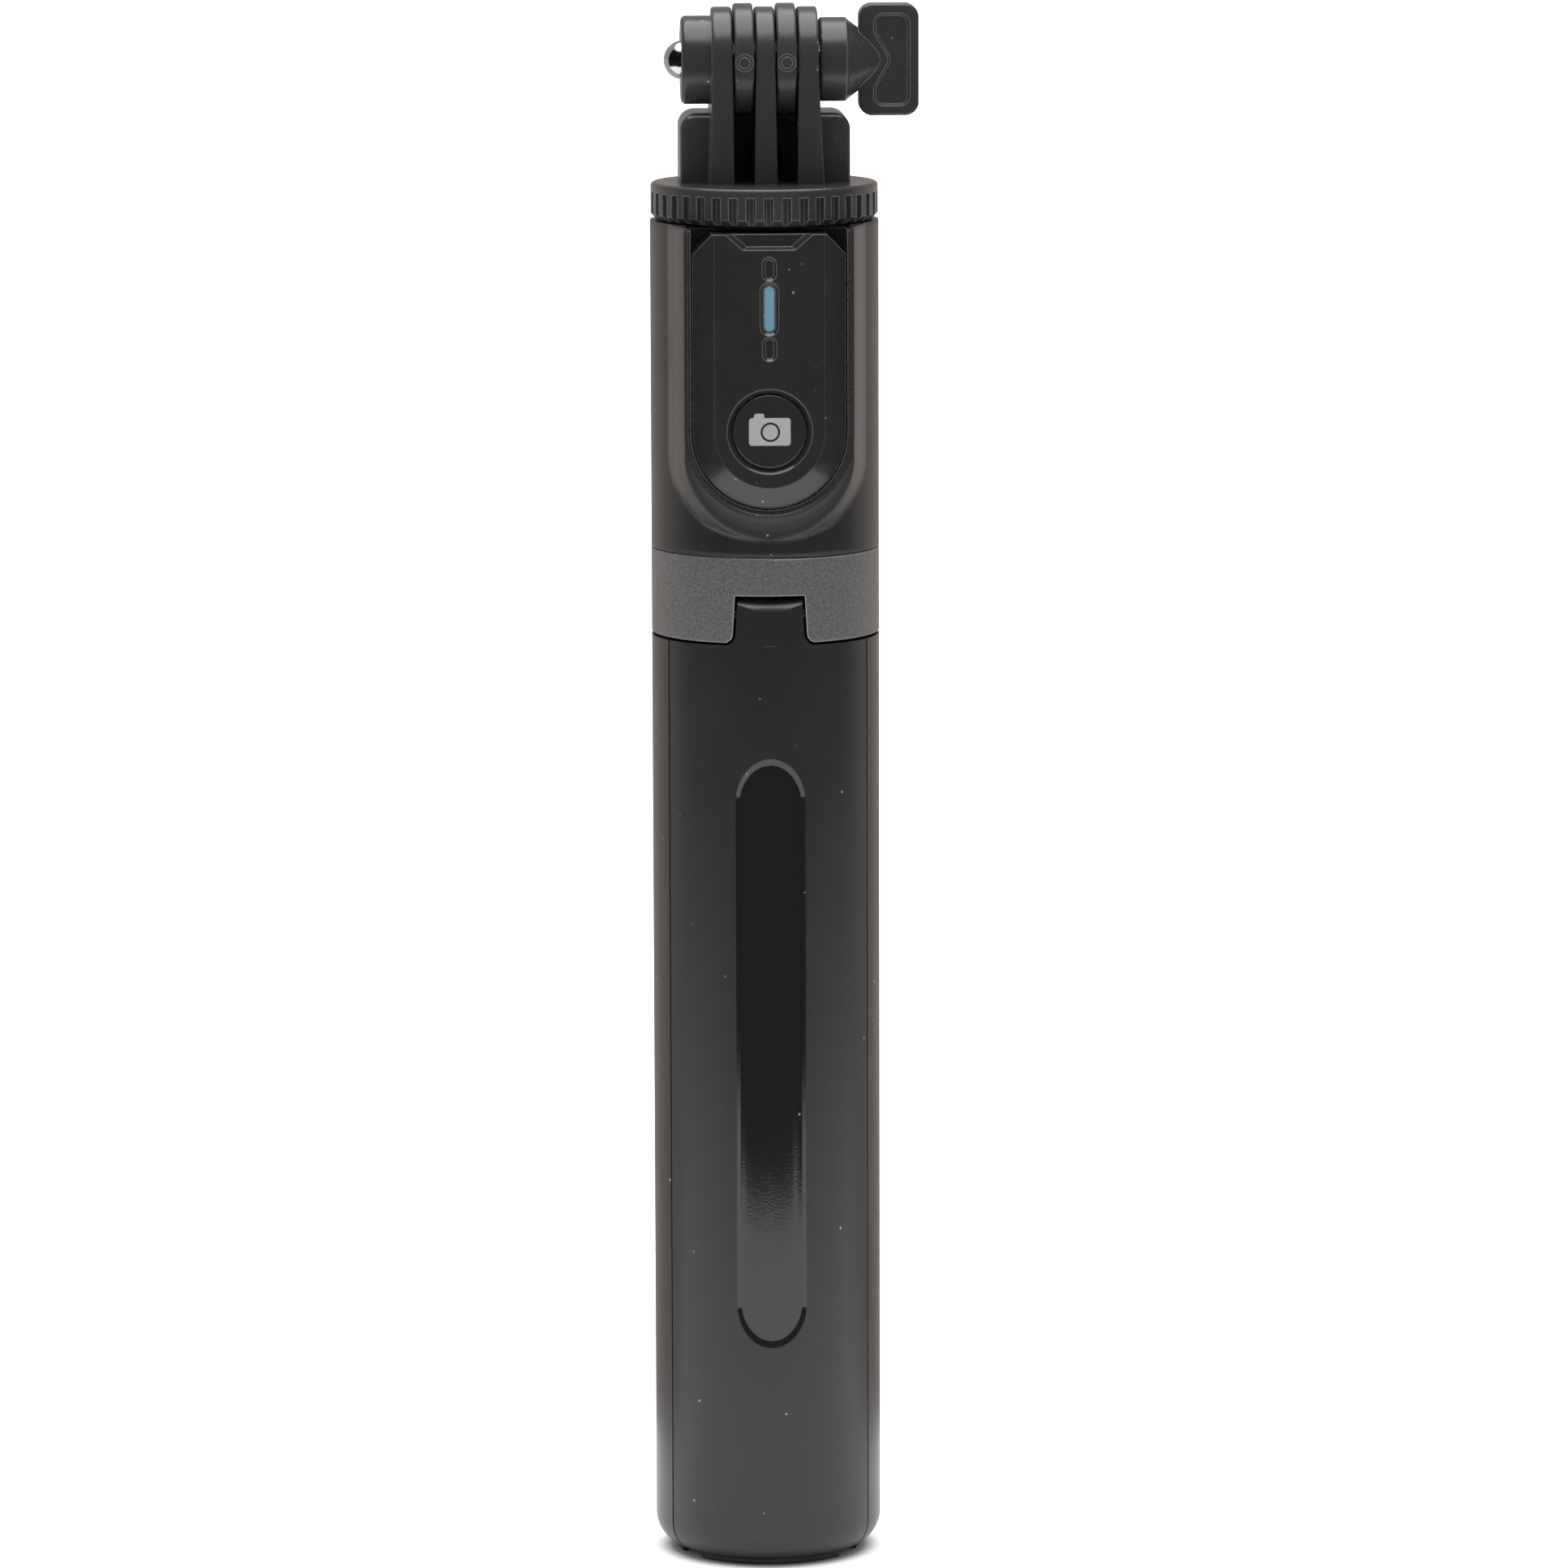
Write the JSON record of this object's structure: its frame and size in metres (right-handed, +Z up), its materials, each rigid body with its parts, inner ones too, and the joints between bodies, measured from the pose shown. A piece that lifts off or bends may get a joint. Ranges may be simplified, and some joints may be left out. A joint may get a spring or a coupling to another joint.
{
  "type": "selfie stick",
  "caption": "Folding tripod selfie stick with a telescopic rod, clip-in shutter remote, three-leg handle and a fold-down phone clamp on a pronged head.",
  "frame": {"origin": "on the stick's axis, level with the feet, at the centre of the rod's end cap", "axes": "+Z up along the stick, -Y out of the remote's face, +X towards the thumb screw"},
  "size_m": [0.0381, 0.0533, 0.2234],
  "materials": {
    "satin_black": "satin",
    "ring_grey": "satin metallic",
    "moulded_black": "satin",
    "rubber_black": "matte",
    "steel": "satin",
    "dark_steel": "satin",
    "chrome": "polished",
    "tube_metal": "brushed",
    "gloss_black": "gloss",
    "led_blue": "gloss",
    "board_green": "satin",
    "switch_metal": "satin"
  },
  "bodies": {
    "grip": {"hub_ring": "ring_grey", "hub_core": "moulded_black", "leg_hinge_pins": "dark_steel", "guide_sleeve": "tube_metal", "upper_shell": "satin_black", "remote_tray": "moulded_black", "top_collar": "moulded_black", "body_screws": "steel"},
    "leg_front": {"leg_shell_front": "satin_black", "leg_liner_front": "moulded_black", "leg_foot_front": "rubber_black", "leg_screws_front": "steel"},
    "leg_right": {"leg_shell_right": "satin_black", "leg_liner_right": "moulded_black", "leg_foot_right": "rubber_black", "leg_screws_right": "steel"},
    "leg_left": {"leg_shell_left": "satin_black", "leg_liner_left": "moulded_black", "leg_foot_left": "rubber_black", "leg_screws_left": "steel"},
    "rod_1": {"rod_tube_1": "tube_metal", "rod_end_cap": "moulded_black"},
    "rod_2": {"rod_tube_2": "tube_metal", "rod_bush_2": "moulded_black"},
    "rod_3": {"rod_tube_3": "tube_metal", "rod_bush_3": "moulded_black"},
    "rod_4": {"rod_tube_4": "tube_metal", "rod_bush_4": "moulded_black"},
    "rod_5": {"rod_tube_5": "tube_metal", "rod_bush_5": "moulded_black", "rod_tip": "moulded_black"},
    "head": {"grip_disc": "moulded_black", "disc_screws": "steel", "head_base": "moulded_black", "swivel_pin": "steel", "swivel_clip": "steel", "acorn_nut": "chrome"},
    "thumb_screw": {"thumb_knob": "moulded_black", "thumb_bolt": "steel"},
    "clamp": {"clamp_arm": "moulded_black", "clamp_housing": "moulded_black", "back_pad": "rubber_black", "fixed_jaw_pad": "rubber_black", "jaw_springs": "steel"},
    "clamp_jaw": {"clamp_jaw": "moulded_black", "jaw_rods": "steel", "moving_jaw_pad": "rubber_black"},
    "remote": {"remote_front": "gloss_black", "remote_back": "moulded_black", "remote_screws": "steel", "remote_board": "board_green", "coin_cell": "steel", "led_lens": "led_blue", "tact_switch": "switch_metal"},
    "shutter_button": {"shutter_button": "gloss_black"}
  },
  "joints": [
    {"name": "leg_swing_front", "type": "hinge", "parent": "grip", "child": "leg_front", "pos_m": [0, -0.0138, 0.138], "axis": [-1, 0, 0], "range_deg": [0, 65]},
    {"name": "leg_swing_right", "type": "hinge", "parent": "grip", "child": "leg_right", "pos_m": [0.01195, 0.0069, 0.138], "axis": [0.5, -0.866, 0], "range_deg": [0, 65]},
    {"name": "leg_swing_left", "type": "hinge", "parent": "grip", "child": "leg_left", "pos_m": [-0.01195, 0.0069, 0.138], "axis": [0.5, 0.866, 0], "range_deg": [0, 65]},
    {"name": "rod_slide_1", "type": "slide", "parent": "grip", "child": "rod_1", "axis": [0, 0, 1], "range_m": [0, 0.1315]},
    {"name": "rod_slide_2", "type": "slide", "parent": "rod_1", "child": "rod_2", "axis": [0, 0, 1], "range_m": [0, 0.158]},
    {"name": "rod_slide_3", "type": "slide", "parent": "rod_2", "child": "rod_3", "axis": [0, 0, 1], "range_m": [0, 0.158]},
    {"name": "rod_slide_4", "type": "slide", "parent": "rod_3", "child": "rod_4", "axis": [0, 0, 1], "range_m": [0, 0.158]},
    {"name": "rod_slide_5", "type": "slide", "parent": "rod_4", "child": "rod_5", "axis": [0, 0, 1], "range_m": [0, 0.158]},
    {"name": "head_pan", "type": "hinge", "parent": "rod_5", "child": "head", "pos_m": [0, 0, 0.1955], "axis": [0, 0, 1], "range_deg": [-100, 100]},
    {"name": "thumb_screw_turn", "type": "hinge", "parent": "head", "child": "thumb_screw", "pos_m": [0, 0, 0.2154], "axis": [1, 0, 0], "continuous": true},
    {"name": "clamp_tilt", "type": "hinge", "parent": "head", "child": "clamp", "pos_m": [0, 0, 0.2154], "axis": [1, 0, 0], "range_deg": [0, 180]},
    {"name": "jaw_slide", "type": "slide", "parent": "clamp", "child": "clamp_jaw", "axis": [0, 0, -1], "range_m": [0, 0.033], "stiffness_N_per_m": 150, "springref_m": -0.02, "deforming": ["jaw_springs"]},
    {"name": "remote_release", "type": "slide", "parent": "grip", "child": "remote", "axis": [0, -1, 0], "range_m": [0, 0.02]},
    {"name": "shutter_press", "type": "slide", "parent": "remote", "child": "shutter_button", "axis": [0, 1, 0], "range_m": [0, 0.0005], "stiffness_N_per_m": 1200, "springref_m": -0.0005}
  ]
}
